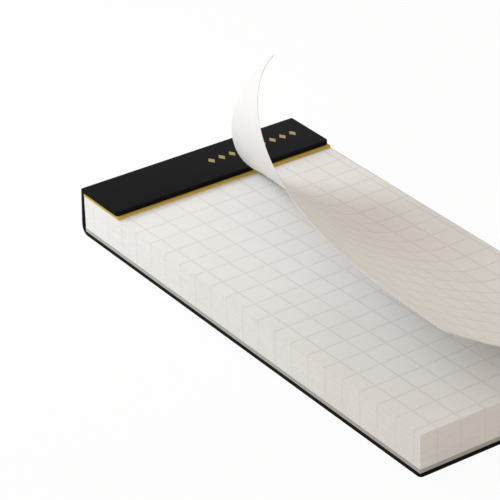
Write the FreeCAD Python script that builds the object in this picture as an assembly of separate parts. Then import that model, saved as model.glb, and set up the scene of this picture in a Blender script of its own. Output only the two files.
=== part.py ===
import FreeCAD, Part
import math
import os

# A narrow top-bound writing pad, lying on its back.  +X runs across the pad, +Y towards the bound header, +Z up.
# The origin is on the surface that the pad lies on, under the middle of its cover.  All sizes are millimetres.

# Paper
page_width = 49.2
page_length = 105.0
sheet_thickness = 0.1
block_thickness = 6.75          # the sheets below the lifted one, about seventy of them
sheet_gap = 0.03                # air under the lifted sheet where it still lies on the block

# Cover: one piece of black board, folded round the header, down the spine and under the pad
cover_thickness = 0.95
flap_depth = 11.8               # from the bound end of the sheets to the front edge of the flap
spine_lean = 0.6                # how far the spine stands out further at its foot than at its top
top_fold_radius = 0.55
foot_fold_radius = 1.9
foot_crease_share = 0.8         # inside radius of the foot's fold, as a share of the spine's lean
cover_corner_radius = 0.8

# Grey board under the sheets, and the yellow card strip between the flap and the sheets
board_thickness = 0.8
strip_thickness = 0.45
strip_depth = 12.3              # from the bound end of the sheets to the strip's front edge

# Staples of flat wire that bind strip, sheets and board under the flap
wire_width = 0.6
wire_thickness = 0.35
staple_width = 10.0
staple_spacing = 24.0
staple_inset = 6.0              # from the bound end of the sheets
clinch_length = 3.6
wire_bend_radius = 0.5
hole_clearance = 0.04

# Lifted sheet: torn off along the header from its left edge, still held beside its right edge.
# Each value pair is at the header and at the open end, with the power by which it passes from one to the other.
flat_at_header = 14.9           # width that still lies flat, from the right edge
flat_at_end = 3.0
flat_power = 1.7
bend_at_header = 2.9            # width of the tight bend where the sheet leaves the block
bend_at_end = 10.0
bend_angle_at_header = 35.0     # slope reached after the tight bend, in degrees
bend_angle_at_end = 18.0
bend_power = 6.0
edge_angle_at_header = 142.4    # slope reached at the free long edge, in degrees
edge_angle_at_end = 34.4
edge_power = 2.7
corner_lean = 8.3               # how far the torn corner hangs over towards the open end
lean_power = 3.6
sheet_columns = 40              # steps across and along at which the curled surface is measured
sheet_rows = 20

# Heights and places that follow from the sizes above
board_bottom = cover_thickness
block_bottom = board_bottom + board_thickness
page_top = block_bottom + block_thickness
stub_top = page_top + sheet_gap + sheet_thickness
strip_top = stub_top + strip_thickness
flap_top = strip_top + cover_thickness
left_side = -page_width / 2
right_side = page_width / 2
spine_foot = cover_thickness + spine_lean
bound_end = (page_length - spine_foot) / 2
open_end = bound_end - page_length
strip_front = bound_end - strip_depth
flap_front = bound_end - flap_depth
free_length = page_length - strip_depth

# Nearness of two places that count as one, and of the sheet's upper face to its true distance from the lower
same_place = 1e-6
offset_tolerance = 1e-4


def line(start, end):
    """Straight edge between two points."""
    return Part.LineSegment(start, end).toShape()


def shifted_path(points, distance):
    """Corners of a path in the YZ plane, moved to its right-hand side by a distance."""
    sides = []
    for start, end in zip(points, points[1:]):
        along = (end - start).normalize()
        normal = FreeCAD.Vector(0, along.z, -along.y)
        sides.append((start + normal * distance, along))
    moved = [sides[0][0]]
    for (base, along), (other, other_along) in zip(sides, sides[1:]):
        gap = other - base
        cross = along.y * other_along.z - along.z * other_along.y
        reach = (gap.y * other_along.z - gap.z * other_along.y) / cross
        moved.append(base + along * reach)
    base, along = sides[-1]
    moved.append(base + along * (points[-1] - points[-2]).Length)
    return moved


def folded_path(points, radii):
    """Edges of a path whose inner corners are tangent arcs; a radius of zero leaves a corner sharp."""
    edges = []
    start = points[0]
    for before, corner, after, radius in zip(points, points[1:], points[2:], radii):
        back = (before - corner).normalize()
        ahead = (after - corner).normalize()
        if radius <= 0:
            edges.append(line(start, corner))
            start = corner
            continue
        half = back.getAngle(ahead) / 2
        reach = radius / math.tan(half)
        middle = corner + (back + ahead).normalize() * (radius / math.sin(half) - radius)
        arc_start, arc_end = corner + back * reach, corner + ahead * reach
        edges.append(line(start, arc_start))
        edges.append(Part.Arc(arc_start, middle, arc_end).toShape())
        start = arc_end
    edges.append(line(start, points[-1]))
    return edges


def make_cover():
    """Black cover: flap over the header, leaning spine with a round foot, and back panel, folded from one board."""
    outer = [
        FreeCAD.Vector(0, flap_front, flap_top),
        FreeCAD.Vector(0, bound_end + cover_thickness, flap_top),
        FreeCAD.Vector(0, bound_end + spine_foot, 0),
        FreeCAD.Vector(0, open_end, 0),
    ]
    inner = shifted_path(outer, cover_thickness)
    inner[0].y, inner[-1].y = flap_front, open_end
    outer_edges = folded_path(outer, [top_fold_radius, foot_fold_radius])
    inner_edges = folded_path(inner, [0, foot_crease_share * spine_lean])
    ends = [line(outer[0], inner[0]), line(outer[-1], inner[-1])]
    profile = Part.Face(Part.Wire(Part.__sortEdges__(outer_edges + inner_edges + ends)))
    profile.translate(FreeCAD.Vector(left_side, 0, 0))
    cover = profile.extrude(FreeCAD.Vector(page_width, 0, 0))
    corners = []
    for edge in cover.Edges:
        first, last = edge.Vertexes[0].Point, edge.Vertexes[-1].Point
        upright = math.hypot(first.x - last.x, first.y - last.y) < same_place
        if upright and min(abs(first.y - flap_front), abs(first.y - open_end)) < same_place:
            corners.append(edge)
    return cover.makeFillet(cover_corner_radius, corners)


def plate(front, back, bottom, top):
    """Flat piece as wide as the sheets, between two places along the pad and two heights."""
    corner = FreeCAD.Vector(left_side, front, bottom)
    return Part.makeBox(page_width, back - front, top - bottom, corner)


def staple_path(centre_x):
    """Middle line of a staple's wire: clinched point, leg, crown, leg, clinched point."""
    y = bound_end - staple_inset
    crown_height = strip_top - wire_thickness / 2
    clinch_height = board_bottom + wire_thickness / 2
    left, right = centre_x - staple_width / 2, centre_x + staple_width / 2
    corners = [
        FreeCAD.Vector(left + clinch_length, y, clinch_height),
        FreeCAD.Vector(left, y, clinch_height),
        FreeCAD.Vector(left, y, crown_height),
        FreeCAD.Vector(right, y, crown_height),
        FreeCAD.Vector(right, y, clinch_height),
        FreeCAD.Vector(right - clinch_length, y, clinch_height),
    ]
    return Part.Wire(folded_path(corners, [wire_bend_radius] * 4))


def wire_along(path, width, thickness):
    """Flat wire along a path that starts parallel to X; its width lies along Y."""
    start = path.Vertexes[0].Point
    corners = [
        start + FreeCAD.Vector(0, side * width / 2, up * thickness / 2)
        for side, up in ((-1, -1), (1, -1), (1, 1), (-1, 1), (-1, -1))
    ]
    return path.makePipeShell([Part.makePolygon(corners)], True, True)


def make_staple(centre_x):
    """Wire staple, crown up under the flap and its points folded in under the grey board."""
    return wire_along(staple_path(centre_x), wire_width, wire_thickness)


def staple_channel(centre_x):
    """Space that a staple takes up: holes for its legs, and grooves pressed by its crown and its points."""
    width = wire_width + 2 * hole_clearance
    thickness = wire_thickness + 2 * hole_clearance
    front = bound_end - staple_inset - width / 2
    left = centre_x - staple_width / 2
    right = centre_x + staple_width / 2
    crown_start = FreeCAD.Vector(left, front, strip_top - wire_thickness / 2)
    crown = Part.makeBox(staple_width, width, wire_thickness, crown_start)
    groove_length = clinch_length + hole_clearance
    points = [
        Part.makeBox(groove_length, width, board_bottom + wire_thickness / 2, FreeCAD.Vector(start, front, 0))
        for start in (left, right - groove_length)
    ]
    return wire_along(staple_path(centre_x), width, thickness).multiFuse([crown] + points)


def without_staples(shape):
    """A piece with the staples' holes and grooves taken out of it."""
    return shape.cut([staple_channel(-staple_spacing / 2), staple_channel(staple_spacing / 2)])


def make_page_block():
    """All sheets below the lifted one, with the torn sheet's stub left on top under the header."""
    sheets = plate(open_end, bound_end, block_bottom, page_top)
    stub = plate(strip_front, bound_end, page_top, stub_top)
    return without_staples(sheets.fuse(stub).removeSplitter())


def passing(at_header, at_end, power, along):
    """Value that passes from the header to the open end of the lifted sheet."""
    share = 1 - along / free_length
    return at_end + (at_header - at_end) * share ** power


def sheet_point(across, along):
    """Point under the lifted sheet, from distances measured on the paper: across from its right edge, along
    from the header.  Each crossing line is flat, then a tight arc, then a wide arc up to the free edge."""
    flat = passing(flat_at_header, flat_at_end, flat_power, along)
    bend = passing(bend_at_header, bend_at_end, 1, along)
    slope = math.radians(passing(bend_angle_at_header, bend_angle_at_end, bend_power, along))
    edge_slope = math.radians(passing(edge_angle_at_header, edge_angle_at_end, edge_power, along))
    wide = page_width - flat - bend
    tight_radius, wide_radius = bend / slope, wide / (edge_slope - slope)
    in_bend = min(max(across - flat, 0), bend)
    in_wide = max(across - flat - bend, 0)
    first, last = in_bend / tight_radius, slope + in_wide / wide_radius
    reach = min(across, flat) + tight_radius * math.sin(first)
    rise = tight_radius * (1 - math.cos(first))
    reach += wide_radius * (math.sin(last) - math.sin(slope)) if in_wide > 0 else 0
    rise += wide_radius * (math.cos(slope) - math.cos(last)) if in_wide > 0 else 0
    lifted = max(across - flat, 0) / (page_width - flat)
    lean = passing(corner_lean, 0, lean_power, along) * lifted ** 2
    return FreeCAD.Vector(right_side - reach, strip_front - along - lean, page_top + sheet_gap + rise)


def make_lifted_page():
    """Top sheet, torn free of the header on its left and curling up and over to the right."""
    columns = [page_width * step / sheet_columns for step in range(sheet_columns + 1)]
    rows = [free_length * step / sheet_rows for step in range(sheet_rows + 1)]
    under = Part.BSplineSurface()
    under.interpolate([[sheet_point(across, along) for across in columns] for along in rows])
    face = under.toShape()
    first_u, last_u, first_v, last_v = face.ParameterRange
    side = 1 if face.normalAt((first_u + last_u) / 2, first_v).z > 0 else -1
    return face.makeOffsetShape(side * sheet_thickness, offset_tolerance, fill=True)


nodes = {
    "cover": make_cover(),
    "backing_board": without_staples(plate(open_end, bound_end, board_bottom, block_bottom)),
    "page_block": make_page_block(),
    "header_strip": without_staples(plate(strip_front, bound_end, stub_top, strip_top)),
    "staple_left": make_staple(-staple_spacing / 2),
    "staple_right": make_staple(staple_spacing / 2),
    "lifted_page": make_lifted_page(),
}

os.makedirs("parts", exist_ok=True)
for name, shape in nodes.items():
    solid = shape if shape.ShapeType == "Solid" else shape.Solids[0]
    solid.exportStep(os.path.join("parts", name + ".step"))
    box = solid.BoundBox
    print(f"{name}: volume {solid.Volume:.1f} mm3, X {box.XMin:.2f}..{box.XMax:.2f}, "
          f"Y {box.YMin:.2f}..{box.YMax:.2f}, Z {box.ZMin:.2f}..{box.ZMax:.2f}, valid {solid.isValid()}")
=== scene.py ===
"""A narrow top-bound writing pad on a pale floor: finishes, detailed pieces, light and camera.

The pad lies on its back with +X across it, +Y towards the bound header and +Z up.  Every size is in metres.
"""

from __future__ import annotations

import logging
import math
import random
from dataclasses import dataclass
from enum import Enum

import bmesh
import bpy
from mathutils import Matrix, Vector

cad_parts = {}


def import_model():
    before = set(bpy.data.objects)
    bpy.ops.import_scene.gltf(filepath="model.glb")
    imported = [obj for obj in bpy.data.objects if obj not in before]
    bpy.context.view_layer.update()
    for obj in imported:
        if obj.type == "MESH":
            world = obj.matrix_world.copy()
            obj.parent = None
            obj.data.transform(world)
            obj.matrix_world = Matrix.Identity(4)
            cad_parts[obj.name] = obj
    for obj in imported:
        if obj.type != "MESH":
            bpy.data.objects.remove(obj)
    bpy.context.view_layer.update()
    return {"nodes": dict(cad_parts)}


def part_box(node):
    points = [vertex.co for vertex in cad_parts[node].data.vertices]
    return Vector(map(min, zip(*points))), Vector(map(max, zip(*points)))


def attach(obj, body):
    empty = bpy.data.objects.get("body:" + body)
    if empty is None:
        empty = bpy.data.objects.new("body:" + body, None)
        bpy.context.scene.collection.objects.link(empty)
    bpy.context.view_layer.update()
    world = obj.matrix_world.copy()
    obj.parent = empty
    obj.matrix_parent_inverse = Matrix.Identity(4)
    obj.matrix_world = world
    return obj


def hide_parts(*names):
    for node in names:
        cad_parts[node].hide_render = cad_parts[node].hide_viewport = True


MM = 0.001
BODY = "root"
LOG = logging.getLogger("writing_pad")

Colour = tuple[float, float, float, float]
Range = tuple[float, float]
Tree = bpy.types.NodeTree
Node = bpy.types.Node
Socket = bpy.types.NodeSocket
Outputs = bpy.types.NodeOutputs
Material = bpy.types.Material

WHITE: Colour = (1.0, 1.0, 1.0, 1.0)
SAME_PLACE = 0.0005 * MM
FLAT_TURN = math.radians(0.5)
SHARP_TURN = math.radians(40)


class Slot(Enum):
    """Names of material slots in the pad's record for the pieces that are made here; the script gives them to
    no piece.
    """

    COVER = "black_board"
    PAPER = "squared_paper"


class PaperFace(Enum):
    """Where a paper material finds its place on the sheet."""

    STACK = "stack"
    PRINTED = "printed"
    BLANK = "blank"


def node_in(tree: Tree, kind: str, settings: dict | None = None, **inputs: object) -> Node:
    """Adds a node and fills its inputs.

    Args:
        tree: The node tree that gets the node.
        kind: The node's type name without its ShaderNode prefix.
        settings: Properties of the node, by name.
        inputs: Input values or sockets to link from, by input name with _ for a space, or iN for input N.

    Returns:
        The new node.
    """
    node = tree.nodes.new("ShaderNode" + kind)
    for name, value in (settings or {}).items():
        setattr(node, name, value)
    for name, value in inputs.items():
        numbered = name[0] == "i" and name[1:].isdigit()
        socket = node.inputs[int(name[1:])] if numbered else node.inputs[name.replace("_", " ")]
        if isinstance(value, Socket):
            tree.links.new(value, socket)
        else:
            socket.default_value = value
    return node


def math_node(tree: Tree, operation: str, *terms: object) -> Socket:
    """Adds a Math node.

    Args:
        tree: The node tree that gets the node.
        operation: The operation's name.
        terms: One to three numbers or sockets.

    Returns:
        The node's result.
    """
    inputs = {f"i{place}": term for place, term in enumerate(terms)}
    return node_in(tree, "Math", {"operation": operation}, **inputs).outputs[0]


def soft_step(tree: Tree, value: Socket, limits: tuple[object, object]) -> Socket:
    """Passes smoothly from 0 where a value is at the first limit to 1 where it is at the second.

    Args:
        tree: The node tree that gets the node.
        value: The value to read.
        limits: Where the result is 0, and where it is 1, each a number or a socket.

    Returns:
        The step as a socket.
    """
    start, end = limits
    settings = {"interpolation_type": "SMOOTHSTEP"}
    return node_in(tree, "MapRange", settings, Value=value, From_Min=start, From_Max=end).outputs["Result"]


def colour_mix(tree: Tree, factor: object, first: object, second: object) -> Socket:
    """Mixes two colours.

    Args:
        tree: The node tree that gets the node.
        factor: Share of the second colour.
        first: Colour at a factor of 0.
        second: Colour at a factor of 1.

    Returns:
        The mixed colour.
    """
    mixer = node_in(tree, "Mix", {"data_type": "RGBA"}, i0=factor, i6=first, i7=second)
    return mixer.outputs[2]


class NodeGroups:
    """Shader node groups that several finishes share, each built once.

    INK_FULL and INK_END are how far from a printed line's middle its ink is full and ends, as shares of its
    width.
    """

    NOISE_DETAIL = 3.0
    NOISE_ROUGHNESS = 0.6
    INK_END = 0.75
    INK_FULL = 0.25

    def __init__(self) -> None:
        """Starts with no group built."""
        self._built: dict[str, Tree] = {}

    @staticmethod
    def _start(name: str, inputs: dict[str, str], outputs: dict[str, str]) -> tuple:
        """Makes an empty group with its sockets.

        Args:
            name: The group's name.
            inputs: Socket type names by input name.
            outputs: Socket type names by output name.

        Returns:
            The group, its input node and its output node.
        """
        tree = bpy.data.node_groups.new(name, "ShaderNodeTree")
        for socket, kind in inputs.items():
            tree.interface.new_socket(socket, in_out="INPUT", socket_type="NodeSocket" + kind)
        for socket, kind in outputs.items():
            tree.interface.new_socket(socket, in_out="OUTPUT", socket_type="NodeSocket" + kind)
        return tree, tree.nodes.new("NodeGroupInput"), tree.nodes.new("NodeGroupOutput")

    def grain(self) -> Tree:
        """Two sizes of noise: a fine one for the surface and a broad one for uneven colour.

        Returns:
            A group with the outputs Fine and Broad, both about 0 to 1.
        """
        if "grain" not in self._built:
            sockets = {"Vector": "Vector", "Fine Scale": "Float", "Broad Scale": "Float"}
            tree, source, result = self._start("surface_grain", sockets, {"Fine": "Float", "Broad": "Float"})
            for output in ("Fine", "Broad"):
                noise = node_in(tree, "TexNoise", None, Vector=source.outputs["Vector"],
                                Scale=source.outputs[output + " Scale"],
                                Detail=self.NOISE_DETAIL, Roughness=self.NOISE_ROUGHNESS)
                tree.links.new(noise.outputs["Fac"], result.inputs[output])
            self._built["grain"] = tree
        return self._built["grain"]

    def ruling(self) -> Tree:
        """Printed squares: thin lines at even steps both ways, on a print that sits slightly askew.

        Returns:
            A group with the outputs Columns and Rows, masks of the lines across and along the sheet.
        """
        if "ruling" not in self._built:
            sockets = {"Vector": "Vector", "Origin": "Vector", "Turn": "Float", "Column Step": "Float",
                       "Row Step": "Float", "Line Width": "Float"}
            masks = {"Columns": "Float", "Rows": "Float"}
            tree, source, result = self._start("square_ruling", sockets, masks)
            given = source.outputs
            turned = node_in(tree, "VectorRotate", {"rotation_type": "Z_AXIS"}, Vector=given["Vector"],
                             Center=given["Origin"], Angle=given["Turn"]).outputs[0]
            placed = node_in(tree, "VectorMath", {"operation": "SUBTRACT"},
                             i0=turned, i1=given["Origin"]).outputs[0]
            place = node_in(tree, "SeparateXYZ", None, Vector=placed).outputs
            outer = math_node(tree, "MULTIPLY", given["Line Width"], self.INK_END)
            inner = math_node(tree, "MULTIPLY", given["Line Width"], self.INK_FULL)
            for output, axis in (("Columns", "X"), ("Rows", "Y")):
                step = given[output[:-1] + " Step"]
                half = math_node(tree, "MULTIPLY", step, 0.5)
                distance = math_node(tree, "PINGPONG", place[axis], half)
                tree.links.new(soft_step(tree, distance, (outer, inner)), result.inputs[output])
            self._built["ruling"] = tree
        return self._built["ruling"]


GROUPS = NodeGroups()


def new_material(name: str) -> tuple[Material, Tree, Node]:
    """Makes a material that holds only a Principled shader.

    Args:
        name: The material's name.

    Returns:
        The material, its node tree and its shader.
    """
    material = bpy.data.materials.new(name)
    material.use_nodes = True
    return material, material.node_tree, material.node_tree.nodes["Principled BSDF"]


def bump(tree: Tree, height: Socket, depth: float, strength: float) -> Socket:
    """Turns a height into a normal.

    Args:
        tree: The node tree that gets the node.
        height: Height from 0 to 1.
        depth: Depth in metres of a height of 1.
        strength: Share of the bump that is kept.

    Returns:
        The normal.
    """
    return node_in(tree, "Bump", None, Strength=strength, Distance=depth, Height=height).outputs["Normal"]


@dataclass(frozen=True)
class Ruling:
    """Where the squares are printed on a sheet."""

    column_step: float = 5.0 * MM
    row_step: float = 4.994 * MM
    turn: float = math.radians(-0.875)
    origin: tuple[float, float, float] = (-1.731 * MM, -1.242 * MM, 0.0)
    line_width: float = 0.34 * MM

    def masks(self, tree: Tree, place: Socket) -> Outputs:
        """Adds the printed squares.

        Args:
            tree: The node tree that gets the group.
            place: Place on the sheet in metres.

        Returns:
            The outputs Columns and Rows.
        """
        inputs = {"Vector": place, "Origin": self.origin, "Turn": self.turn, "Column_Step": self.column_step,
                  "Row_Step": self.row_step, "Line_Width": self.line_width}
        return node_in(tree, "Group", {"node_tree": GROUPS.ruling()}, **inputs).outputs


@dataclass(frozen=True)
class Paper:
    """Squared writing paper: its printed face, its blank back, and the cut edges of a whole stack.

    A range gives the values of a noise, or of a face's direction, between which its effect comes in.
    """

    colour: Colour = (0.86, 0.858, 0.852, 1.0)
    warm_colour: Colour = (0.838, 0.832, 0.82, 1.0)
    ink: Colour = (0.42, 0.43, 0.44, 1.0)
    ink_strength: float = 0.27
    bleed_strength: float = 0.06
    edge_shade: Colour = (0.70, 0.68, 0.64, 1.0)
    layer_shade: float = 0.08
    roughness: float = 0.72
    specular: float = 0.3
    fibre_scale: float = 5200.0
    cloud_scale: float = 60.0
    cloud_range: Range = (0.3, 0.7)
    ink_range: Range = (0.1, 0.55)
    layer_range: Range = (0.35, 0.65)
    facing_range: Range = (0.4, 0.8)
    fibre_depth: float = 0.004 * MM
    fibre_strength: float = 0.5
    sheet_pitch: float = 0.1 * MM
    layer_size: float = 0.4
    layer_stretch: tuple[float, float, float] = (0.02, 0.02, 1.0)
    layer_detail: float = 2.0
    layer_height: float = 4.0
    ruling: Ruling = Ruling()

    def material(self, face: PaperFace) -> Material:
        """Makes the paper for one kind of face.

        Args:
            face: Which face of the paper it is for.

        Returns:
            The finished material.
        """
        material, tree, shader = new_material("paper_" + face.value)
        coordinates = node_in(tree, "TexCoord").outputs
        place = coordinates["Object"] if face is PaperFace.STACK else coordinates["UV"]
        grain = node_in(tree, "Group", {"node_tree": GROUPS.grain()}, Vector=place,
                        Fine_Scale=self.fibre_scale, Broad_Scale=self.cloud_scale).outputs
        cloud = soft_step(tree, grain["Broad"], self.cloud_range)
        colour = colour_mix(tree, cloud, self.colour, self.warm_colour)
        height = grain["Fine"]
        if face is not PaperFace.BLANK:
            lines = self.ruling.masks(tree, place)
            printed = math_node(tree, "MAXIMUM", lines["Columns"], lines["Rows"])
            patchy = soft_step(tree, grain["Fine"], self.ink_range)
            ink = math_node(tree, "MULTIPLY", math_node(tree, "MULTIPLY", printed, self.ink_strength), patchy)
        if face is PaperFace.STACK:
            colour, height = self._with_cut_edges(tree, colour, height, lines, ink, coordinates["Object"])
        elif face is PaperFace.PRINTED:
            colour = colour_mix(tree, ink, colour, self.ink)
        tree.links.new(colour, shader.inputs["Base Color"])
        tree.links.new(bump(tree, height, self.fibre_depth, self.fibre_strength), shader.inputs["Normal"])
        shader.inputs["Roughness"].default_value = self.roughness
        shader.inputs["Specular IOR Level"].default_value = self.specular
        return material

    def _with_cut_edges(self, tree: Tree, colour: Socket, height: Socket, lines: Outputs,
                        ink: Socket, place: Socket) -> tuple[Socket, Socket]:
        """Tells a stack's printed top from its cut sides, where lines that run off the sheets show as marks.

        Args:
            tree: The node tree to add to.
            colour: Plain colour of the paper.
            height: Height of the paper's fibres.
            lines: The printed lines' masks.
            ink: Strength of the print on the top.
            place: Place in the pad.

        Returns:
            The colour and the height of the whole stack.
        """
        normal = node_in(tree, "NewGeometry").outputs["True Normal"]
        facing = node_in(tree, "SeparateXYZ", None, Vector=normal).outputs
        upward = soft_step(tree, facing["Z"], self.facing_range)
        sideways = soft_step(tree, math_node(tree, "ABSOLUTE", facing["X"]), self.facing_range)
        endways = soft_step(tree, math_node(tree, "ABSOLUTE", facing["Y"]), self.facing_range)
        layered = node_in(tree, "Mapping", None, Vector=place, Scale=self.layer_stretch).outputs[0]
        sheets = node_in(tree, "TexNoise", None, Vector=layered, Scale=self.layer_size / self.sheet_pitch,
                         Detail=self.layer_detail).outputs["Fac"]
        per_sheet = soft_step(tree, sheets, self.layer_range)
        marks = math_node(tree, "ADD", math_node(tree, "MULTIPLY", lines["Rows"], sideways),
                          math_node(tree, "MULTIPLY", lines["Columns"], endways))
        bleed = math_node(tree, "MULTIPLY", marks, self.bleed_strength)
        layer_shade = math_node(tree, "MULTIPLY", per_sheet, self.layer_shade)
        side = colour_mix(tree, layer_shade, colour, self.edge_shade)
        side = colour_mix(tree, bleed, side, self.ink)
        top = colour_mix(tree, ink, colour, self.ink)
        both = colour_mix(tree, upward, side, top)
        uneven = math_node(tree, "ADD", height, math_node(tree, "MULTIPLY", per_sheet, self.layer_height))
        flat = math_node(tree, "MULTIPLY", math_node(tree, "SUBTRACT", uneven, height), upward)
        return both, math_node(tree, "SUBTRACT", uneven, flat)


@dataclass(frozen=True)
class CoatedBoard:
    """Black coated board with a fine leather grain and a plain row of stamped foil lozenges."""

    colour: Colour = (0.0075, 0.0075, 0.008, 1.0)
    worn_colour: Colour = (0.016, 0.016, 0.0165, 1.0)
    worn_share: float = 0.35
    worn_range: Range = (0.55, 0.8)
    roughness: float = 0.5
    roughness_change: float = 0.06
    specular: float = 0.02
    grain_scale: float = 2600.0
    cloud_scale: float = 90.0
    grain_depth: float = 0.02 * MM
    grain_strength: float = 0.45
    foil: Colour = (0.36, 0.275, 0.10, 1.0)
    foil_metal: float = 0.85
    foil_roughness: float = 0.32
    foil_softness: float = 0.08
    foil_step: float = 2.4 * MM
    foil_half_length: float = 10.8 * MM
    foil_half_width: float = 0.7 * MM
    foil_half_height: float = 1.1 * MM

    def material(self, foil_middle: Vector, foil_bottom: float) -> Material:
        """Makes the board.

        Args:
            foil_middle: Middle of the stamped row on the flap.
            foil_bottom: Height above which the board may carry foil.

        Returns:
            The finished material.
        """
        material, tree, shader = new_material("coated_board")
        place = node_in(tree, "TexCoord").outputs["Object"]
        grain = node_in(tree, "Group", {"node_tree": GROUPS.grain()}, Vector=place,
                        Fine_Scale=self.grain_scale, Broad_Scale=self.cloud_scale).outputs
        worn = math_node(tree, "MULTIPLY", soft_step(tree, grain["Fine"], self.worn_range), self.worn_share)
        board = colour_mix(tree, worn, self.colour, self.worn_colour)
        foil = self._foil_mask(tree, place, foil_middle, foil_bottom)
        roughness = node_in(tree, "MapRange", None, Value=grain["Broad"],
                            To_Min=self.roughness - self.roughness_change,
                            To_Max=self.roughness + self.roughness_change).outputs["Result"]
        foil_change = math_node(tree, "SUBTRACT", self.foil_roughness, roughness)
        tree.links.new(colour_mix(tree, foil, board, self.foil), shader.inputs["Base Color"])
        tree.links.new(math_node(tree, "MULTIPLY", foil, self.foil_metal), shader.inputs["Metallic"])
        tree.links.new(math_node(tree, "MULTIPLY_ADD", foil_change, foil, roughness),
                       shader.inputs["Roughness"])
        pressed = math_node(tree, "SUBTRACT", grain["Fine"], foil)
        tree.links.new(bump(tree, pressed, self.grain_depth, self.grain_strength), shader.inputs["Normal"])
        shader.inputs["Specular IOR Level"].default_value = self.specular
        return material

    def _foil_mask(self, tree: Tree, place: Socket, middle: Vector, bottom: float) -> Socket:
        """Marks the stamped row: lozenges at even steps along the flap.

        Args:
            tree: The node tree to add to.
            place: Place in the pad.
            middle: Middle of the row.
            bottom: Height above which foil may lie.

        Returns:
            1 on the foil and 0 elsewhere.
        """
        placed = node_in(tree, "VectorMath", {"operation": "SUBTRACT"}, i0=place, i1=tuple(middle)).outputs[0]
        parts = node_in(tree, "SeparateXYZ", None, Vector=placed).outputs
        along = math_node(tree, "PINGPONG", parts["X"], self.foil_step / 2)
        across = math_node(tree, "ABSOLUTE", parts["Y"])
        reach = math_node(tree, "ADD", math_node(tree, "DIVIDE", along, self.foil_half_width),
                          math_node(tree, "DIVIDE", across, self.foil_half_height))
        lozenge = soft_step(tree, reach, (1 + self.foil_softness, 1 - self.foil_softness))
        in_row = math_node(tree, "LESS_THAN", math_node(tree, "ABSOLUTE", parts["X"]), self.foil_half_length)
        on_top = math_node(tree, "GREATER_THAN", parts["Z"], bottom - middle.z)
        return math_node(tree, "MULTIPLY", math_node(tree, "MULTIPLY", lozenge, in_row), on_top)


@dataclass(frozen=True)
class RawBoard:
    """Dull card with flecks, for the yellow strip and the grey board."""

    name: str
    colour: Colour
    fleck_colour: Colour
    roughness: float = 0.75
    specular: float = 0.25
    fleck_scale: float = 3200.0
    fleck_range: Range = (0.45, 0.75)
    fleck_share: float = 0.6
    fleck_depth: float = 0.012 * MM
    fleck_strength: float = 0.5
    cloud_scale: float = 150.0
    cloud_share: float = 0.3

    def material(self) -> Material:
        """Makes the card.

        Returns:
            The finished material.
        """
        material, tree, shader = new_material(self.name)
        place = node_in(tree, "TexCoord").outputs["Object"]
        grain = node_in(tree, "Group", {"node_tree": GROUPS.grain()}, Vector=place,
                        Fine_Scale=self.fleck_scale, Broad_Scale=self.cloud_scale).outputs
        flecks = math_node(tree, "MULTIPLY_ADD", soft_step(tree, grain["Fine"], self.fleck_range),
                           self.fleck_share, math_node(tree, "MULTIPLY", grain["Broad"], self.cloud_share))
        tree.links.new(colour_mix(tree, flecks, self.colour, self.fleck_colour), shader.inputs["Base Color"])
        normal = bump(tree, grain["Fine"], self.fleck_depth, self.fleck_strength)
        tree.links.new(normal, shader.inputs["Normal"])
        shader.inputs["Roughness"].default_value = self.roughness
        shader.inputs["Specular IOR Level"].default_value = self.specular
        return material


YELLOW_CARD = RawBoard("yellow_card", (0.56, 0.37, 0.045, 1.0), (0.70, 0.52, 0.13, 1.0))
GREY_BOARD = RawBoard("grey_board", (0.50, 0.49, 0.47, 1.0), (0.36, 0.35, 0.335, 1.0))


@dataclass(frozen=True)
class StapleWire:
    """Galvanised flat wire, drawn lengthways."""

    colour: Colour = (0.52, 0.52, 0.54, 1.0)
    dull_colour: Colour = (0.36, 0.36, 0.37, 1.0)
    roughness: float = 0.35
    scratch_scale: float = 6000.0
    scratch_depth: float = 0.004 * MM
    scratch_strength: float = 0.4
    dull_scale: float = 700.0

    def material(self) -> Material:
        """Makes the wire.

        Returns:
            The finished material.
        """
        material, tree, shader = new_material("staple_wire")
        place = node_in(tree, "TexCoord").outputs["Object"]
        grain = node_in(tree, "Group", {"node_tree": GROUPS.grain()}, Vector=place,
                        Fine_Scale=self.scratch_scale, Broad_Scale=self.dull_scale).outputs
        tree.links.new(colour_mix(tree, grain["Broad"], self.dull_colour, self.colour),
                       shader.inputs["Base Color"])
        normal = bump(tree, grain["Fine"], self.scratch_depth, self.scratch_strength)
        tree.links.new(normal, shader.inputs["Normal"])
        shader.inputs["Metallic"].default_value = 1.0
        shader.inputs["Roughness"].default_value = self.roughness
        return material


def new_piece(name: str, bm: bmesh.types.BMesh, materials: list[Material],
              replaced: str) -> bpy.types.Object:
    """Makes a finished mesh a piece of the pad.

    Args:
        name: The piece's name.
        bm: Its mesh, which is freed.
        materials: Its materials, in the order of its faces' indices.
        replaced: The frame's node that it stands for.

    Returns:
        The piece.
    """
    mesh = bpy.data.meshes.new(name)
    bm.to_mesh(mesh)
    bm.free()
    for material in materials:
        mesh.materials.append(material)
    piece = bpy.data.objects.new(name, mesh)
    bpy.context.scene.collection.objects.link(piece)
    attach(piece, BODY)
    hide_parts(replaced)
    return piece


def dress_node(node: bpy.types.Object, material: Material) -> None:
    """Gives a piece of the frame one material.

    Args:
        node: The frame's object.
        material: Its new material.
    """
    node.data.materials.clear()
    node.data.materials.append(material)


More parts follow.
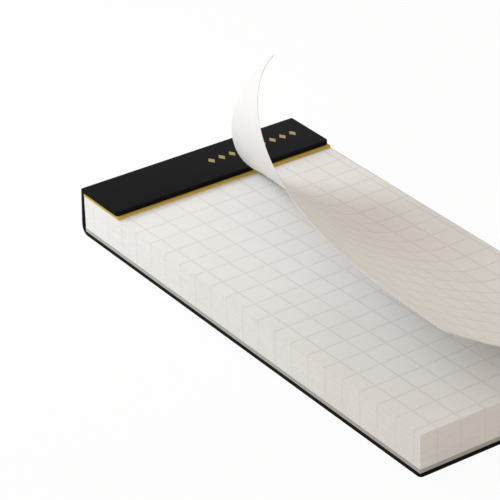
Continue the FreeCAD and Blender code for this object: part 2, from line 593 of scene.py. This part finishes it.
def softened_copy(node: bpy.types.Object, width: float, segments: int) -> bmesh.types.BMesh:
    """Copies a piece of the frame with its sharp edges rounded.

    Args:
        node: The frame's object.
        width: How far the rounding reaches from each sharp edge.
        segments: Steps across the rounding.

    Returns:
        The copy as a mesh under edit.
    """
    bm = bmesh.new()
    bm.from_mesh(node.data)
    bmesh.ops.remove_doubles(bm, verts=bm.verts, dist=SAME_PLACE)
    bmesh.ops.dissolve_limit(bm, angle_limit=FLAT_TURN, verts=bm.verts, edges=bm.edges)
    sharp = [edge for edge in bm.edges if edge.is_manifold and edge.calc_face_angle() > SHARP_TURN]
    bmesh.ops.bevel(bm, geom=sharp, offset=width, offset_type="OFFSET", segments=segments, profile=0.5,
                    affect="EDGES", clamp_overlap=True, material=-1)
    return bm


@dataclass
class Cover:
    """The folded black cover with softened cut edges and a stamped row on its flap."""

    node: bpy.types.Object
    edge_softness: float = 0.14 * MM
    edge_segments: int = 3
    strip_showing: float = 0.5 * MM
    foil_from_front: float = 6.8 * MM
    foil_off_centre: float = 11.1 * MM
    foil_reach: float = 0.3 * MM
    finish: CoatedBoard = CoatedBoard()

    def build(self) -> bpy.types.Object:
        """Builds the cover.

        Returns:
            The piece.
        """
        low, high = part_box("cover")
        strip_low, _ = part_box("header_strip")
        flap_front = strip_low.y + self.strip_showing
        middle = Vector((self.foil_off_centre, flap_front + self.foil_from_front, high.z))
        bm = softened_copy(self.node, self.edge_softness, self.edge_segments)
        for face in bm.faces:
            face.smooth = True
        board = self.finish.material(middle, high.z - self.foil_reach)
        return new_piece("folded_cover", bm, [board], "cover")


@dataclass
class SheetStack:
    """The sheets below the lifted one, each shown on the block's cut sides, and the torn sheet's stub."""

    sheet_pitch: float = 0.1 * MM
    jitter: float = 0.035 * MM
    groove: float = 0.03 * MM
    stub_height: float = 0.13 * MM
    stub_gap: float = 0.01 * MM
    cut_nearness: float = 0.0001 * MM
    seed: int = 7
    finish: Paper = Paper()

    def build(self) -> bpy.types.Object:
        """Builds the stack with the torn sheet's stub on it.

        Returns:
            The piece.
        """
        low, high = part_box("page_block")
        page_top = high.z - self.stub_height
        strip_low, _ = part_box("header_strip")
        bm = bmesh.new()
        self._add_box(bm, low, Vector((high.x, high.y, page_top)))
        sheets = round((page_top - low.z) / self.sheet_pitch)
        pitch = (page_top - low.z) / sheets
        draw = random.Random(self.seed)
        middle = (low + high) / 2
        for sheet in range(1, 2 * sheets):
            height = low.z + sheet * pitch / 2
            cut = bmesh.ops.bisect_plane(bm, geom=bm.verts[:] + bm.edges[:] + bm.faces[:],
                                         dist=self.cut_nearness, plane_co=(0, 0, height), plane_no=(0, 0, 1))
            inward = self.groove if sheet % 2 == 0 else 0.0
            ring = {item for item in cut["geom_cut"] if isinstance(item, bmesh.types.BMVert)}
            left, right, front, back = (inward + draw.uniform(0, self.jitter) for _ in range(4))
            for vert in ring:
                vert.co.x = low.x + left if vert.co.x < middle.x else high.x - right
                vert.co.y = low.y + front if vert.co.y < middle.y else high.y - back
        self._add_box(bm, Vector((low.x, strip_low.y, page_top + self.stub_gap)), high)
        return new_piece("sheet_stack", bm, [self.finish.material(PaperFace.STACK)], "page_block")

    @staticmethod
    def _add_box(bm: bmesh.types.BMesh, low: Vector, high: Vector) -> None:
        """Adds a closed box between two corners.

        Args:
            bm: The mesh under edit.
            low: Lowest corner.
            high: Highest corner.
        """
        size = high - low
        place = Matrix.Translation((low + high) / 2) @ Matrix.Diagonal((*size, 1))
        bmesh.ops.create_cube(bm, size=1, matrix=place)


@dataclass
class LiftedSheet:
    """The top sheet, torn off along the header from its left edge and curling up and over.

    Three numbers give a size at the header, the size at the open end, and the power by which it passes from
    one to the other.
    """

    width: float = 49.2 * MM
    length: float = 92.7 * MM
    thickness: float = 0.1 * MM
    flat: tuple[float, float, float] = (15.8 * MM, 2.85 * MM, 1.8)
    bend: tuple[float, float, float] = (2.4 * MM, 11.4 * MM, 1.0)
    bend_angle: tuple[float, float, float] = (math.radians(40.8), math.radians(21.1), 9.0)
    edge_angle: tuple[float, float, float] = (math.radians(138.4), math.radians(34.7), 2.8)
    corner_lean: tuple[float, float, float] = (7.8 * MM, 0.0, 1.95)
    tear_depth: float = 0.16 * MM
    columns: int = 132
    rows: int = 180
    seed: int = 11
    finish: Paper = Paper()

    def passing(self, values: tuple[float, float, float], along: float) -> float:
        """Size at a distance from the header.

        Args:
            values: Size at the header, size at the open end, and the power between them.
            along: Distance from the header on the paper.

        Returns:
            The size there.
        """
        at_header, at_end, power = values
        return at_end + (at_header - at_end) * max(1 - along / self.length, 0) ** power

    def point(self, across: float, along: float) -> tuple[Vector, Vector]:
        """Finds a place on the sheet's underside.

        Args:
            across: Distance on the paper from the right edge.
            along: Distance on the paper from the header.

        Returns:
            The place from the sheet's header corner, with X to the left, Y to the open end and Z up.
        """
        flat, bend = self.passing(self.flat, along), self.passing(self.bend, along)
        slope, edge_slope = self.passing(self.bend_angle, along), self.passing(self.edge_angle, along)
        wide = self.width - flat - bend
        tight_radius, wide_radius = bend / slope, wide / (edge_slope - slope)
        in_bend, in_wide = min(max(across - flat, 0), bend), max(across - flat - bend, 0)
        first, last = in_bend / tight_radius, slope + in_wide / wide_radius
        reach = min(across, flat) + tight_radius * math.sin(first)
        rise = tight_radius * (1 - math.cos(first))
        if in_wide > 0:
            reach += wide_radius * (math.sin(last) - math.sin(slope))
            rise += wide_radius * (math.cos(slope) - math.cos(last))
        lifted = max(across - flat, 0) / (self.width - flat)
        lean = self.passing(self.corner_lean, along) * lifted ** 2
        return Vector((reach, along + lean, rise))

    def build(self) -> bpy.types.Object:
        """Builds the sheet with its printed top, blank back and torn edge.

        Returns:
            The piece.
        """
        low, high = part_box("lifted_page")
        header = high.y
        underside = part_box("page_block")[1].z - self.thickness
        bm = bmesh.new()
        bmesh.ops.create_grid(bm, x_segments=self.columns, y_segments=self.rows, size=0.5)
        paper = bm.verts.layers.float_vector.new("paper_place")
        draw = random.Random(self.seed)
        tear = [draw.uniform(0, 1) for _ in range(self.columns + 1)]
        for vert in bm.verts:
            share_across, share_along = vert.co.x + 0.5, 0.5 - vert.co.y
            across, along = self.width * share_across, self.length * share_along
            if along < self.length / self.rows / 2 and across > self.flat[0]:
                along += self.tear_depth * tear[round(share_across * self.columns)]
            reach, down, rise = self.point(across, along)
            vert[paper] = (high.x - across, header - along, 0)
            vert.co = (high.x - reach, header - down, underside + rise)
        bm.normal_update()
        if sum(face.normal.z for face in bm.faces) < 0:
            bmesh.ops.reverse_faces(bm, faces=bm.faces[:])
        under = bm.faces[:]
        raised = bmesh.ops.extrude_face_region(bm, geom=bm.faces[:], use_keep_orig=True)
        upper = [item for item in raised["geom"] if isinstance(item, bmesh.types.BMFace)]
        shifted = {vert for face in upper for vert in face.verts}
        for vert in shifted:
            vert.co += vert.normal * self.thickness
        for face in under:
            face.material_index = 1
        bmesh.ops.recalc_face_normals(bm, faces=bm.faces[:])
        self._order_faces(bm)
        coordinates = bm.loops.layers.uv.new("paper_place")
        for face in bm.faces:
            face.smooth = True
            for loop in face.loops:
                loop[coordinates].uv = loop.vert[paper].xy
        faces = [self.finish.material(PaperFace.PRINTED), self.finish.material(PaperFace.BLANK)]
        return new_piece("curled_sheet", bm, faces, "lifted_page")

    @staticmethod
    def _order_faces(bm: bmesh.types.BMesh) -> None:
        """Puts the faces in the order of their corners, as extruding leaves them in a new order each run.

        Args:
            bm: The mesh under edit.
        """
        bm.verts.index_update()
        count = len(bm.verts)
        bm.faces.sort(key=lambda face: min(vert.index for vert in face.verts) * count
                      + max(vert.index for vert in face.verts))


@dataclass(frozen=True)
class Viewpoint:
    """The camera that sees the pad from its left and its open end, from above."""

    place: tuple[float, float, float] = (-263.7 * MM, -363.2 * MM, 261.8 * MM)
    turn: float = math.radians(56.292)
    dip: float = math.radians(29.116)
    roll: float = math.radians(-1.851)
    lens: float = 203.95
    sensor_width: float = 36.0
    nearest: float = 0.01
    farthest: float = 20.0

    def build(self) -> bpy.types.Object:
        """Makes the camera.

        Returns:
            The camera.
        """
        data = bpy.data.cameras.new("camera")
        data.lens, data.sensor_width = self.lens, self.sensor_width
        data.clip_start, data.clip_end = self.nearest, self.farthest
        ahead = Vector((math.cos(self.turn) * math.cos(self.dip), math.sin(self.turn) * math.cos(self.dip),
                        -math.sin(self.dip)))
        right = Vector((math.sin(self.turn), -math.cos(self.turn), 0))
        up = right.cross(ahead)
        tilted_right = right * math.cos(self.roll) + up * math.sin(self.roll)
        tilted_up = up * math.cos(self.roll) - right * math.sin(self.roll)
        turned = Matrix((tilted_right, tilted_up, -ahead)).transposed()
        camera = bpy.data.objects.new("camera", data)
        camera.matrix_world = Matrix.Translation(self.place) @ turned.to_4x4()
        bpy.context.scene.collection.objects.link(camera)
        bpy.context.scene.camera = camera
        return camera


@dataclass(frozen=True)
class Lamp:
    """One square soft lamp, aimed at a place."""

    name: str
    place: tuple[float, float, float]
    aim: tuple[float, float, float]
    size: float
    power: float
    colour: tuple[float, float, float]

    def build(self) -> bpy.types.Object:
        """Makes the lamp.

        Returns:
            The lamp.
        """
        data = bpy.data.lights.new(self.name, "AREA")
        data.size, data.energy, data.color = self.size, self.power, self.colour
        lamp = bpy.data.objects.new(self.name, data)
        aim = Vector(self.aim) - Vector(self.place)
        lamp.matrix_world = Matrix.Translation(self.place) @ aim.to_track_quat("-Z", "Y").to_matrix().to_4x4()
        bpy.context.scene.collection.objects.link(lamp)
        return lamp


@dataclass
class Studio:
    """Pale floor, pale surroundings and soft lamps."""

    floor_size: float = 6.0
    floor_drop: float = 0.02 * MM
    floor_colour: Colour = (0.86, 0.86, 0.855, 1.0)
    floor_cloud_colour: Colour = (0.8, 0.8, 0.8, 1.0)
    floor_cloud_share: float = 0.03
    floor_cloud_scale: float = 40.0
    floor_cloud_detail: float = 2.0
    floor_roughness: float = 0.8
    floor_specular: float = 0.1
    floor_glow: float = 0.95
    world_colour: Colour = (1.0, 0.905, 0.80, 1.0)
    world_strength: float = 0.66
    lamps: tuple[Lamp, ...] = (
        Lamp("key", (-0.12, 0.14, 0.17), (0.0, 0.03, 0.01), 0.10, 0.142, (0.87, 0.92, 1.0)),
        Lamp("low key", (-0.08, 0.14, 0.10), (0.0, 0.03, 0.01), 0.08, 0.073, (0.80, 0.90, 1.0)),
    )

    def build(self) -> None:
        """Makes the floor, the world and the lamps."""
        bm = bmesh.new()
        bmesh.ops.create_grid(bm, x_segments=1, y_segments=1, size=self.floor_size / 2)
        mesh = bpy.data.meshes.new("floor")
        bm.to_mesh(mesh)
        bm.free()
        floor = bpy.data.objects.new("floor", mesh)
        floor.location.z = -self.floor_drop
        bpy.context.scene.collection.objects.link(floor)
        mesh.materials.append(self._floor_material())
        self._light_world()
        for lamp in self.lamps:
            lamp.build()

    @staticmethod
    def _seen(tree: Tree) -> Socket:
        """Tells rays that show the background from rays that light the object.

        Args:
            tree: The node tree to add to.

        Returns:
            1 for camera, glossy and transmission rays, 0 for the rest.
        """
        path = node_in(tree, "LightPath").outputs
        seen = math_node(tree, "MAXIMUM", path["Is Camera Ray"], path["Is Glossy Ray"])
        return math_node(tree, "MAXIMUM", seen, path["Is Transmission Ray"])

    def _floor_material(self) -> Material:
        """Makes a pale floor that keeps the pad's shadow.

        Returns:
            The finished material.
        """
        material, tree, shader = new_material("pale_floor")
        place = node_in(tree, "TexCoord").outputs["Object"]
        cloud = node_in(tree, "TexNoise", None, Vector=place, Scale=self.floor_cloud_scale,
                        Detail=self.floor_cloud_detail).outputs["Fac"]
        colour = colour_mix(tree, math_node(tree, "MULTIPLY", cloud, self.floor_cloud_share),
                            self.floor_colour, self.floor_cloud_colour)
        tree.links.new(colour, shader.inputs["Base Color"])
        shader.inputs["Roughness"].default_value = self.floor_roughness
        shader.inputs["Specular IOR Level"].default_value = self.floor_specular
        glow = node_in(tree, "Emission", None, Color=WHITE, Strength=1.0).outputs[0]
        share = math_node(tree, "MULTIPLY", self._seen(tree), self.floor_glow)
        mixed = node_in(tree, "MixShader", None, i0=share, i1=shader.outputs[0], i2=glow).outputs[0]
        tree.links.new(mixed, tree.nodes["Material Output"].inputs["Surface"])
        return material

    def _light_world(self) -> None:
        """Makes surroundings that look white and light the pad softly."""
        world = bpy.data.worlds.new("surroundings")
        bpy.context.scene.world = world
        world.use_nodes = True
        tree = world.node_tree
        tree.nodes.clear()
        lighting = node_in(tree, "Background", None, Color=self.world_colour,
                           Strength=self.world_strength).outputs[0]
        white = node_in(tree, "Background", None, Color=WHITE, Strength=1.0).outputs[0]
        mixed = node_in(tree, "MixShader", None, i0=self._seen(tree), i1=lighting, i2=white).outputs[0]
        output = node_in(tree, "OutputWorld")
        tree.links.new(mixed, output.inputs["Surface"])


def main() -> None:
    """Builds the pad's pieces, the studio and the camera, and reports each."""
    logging.basicConfig(level=logging.INFO, format="%(name)s: %(message)s")
    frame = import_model()
    nodes = frame["nodes"]
    bpy.context.scene.view_settings.view_transform = "Standard"
    Viewpoint().build()
    for part in (Cover(nodes["cover"]), SheetStack(), LiftedSheet()):
        piece = part.build()
        LOG.info("%s: %d faces", piece.name, len(piece.data.polygons))
    dress_node(nodes["header_strip"], YELLOW_CARD.material())
    dress_node(nodes["backing_board"], GREY_BOARD.material())
    wire = StapleWire().material()
    for staple in ("staple_left", "staple_right"):
        dress_node(nodes[staple], wire)
    Studio().build()


if __name__ == "__main__":
    main()
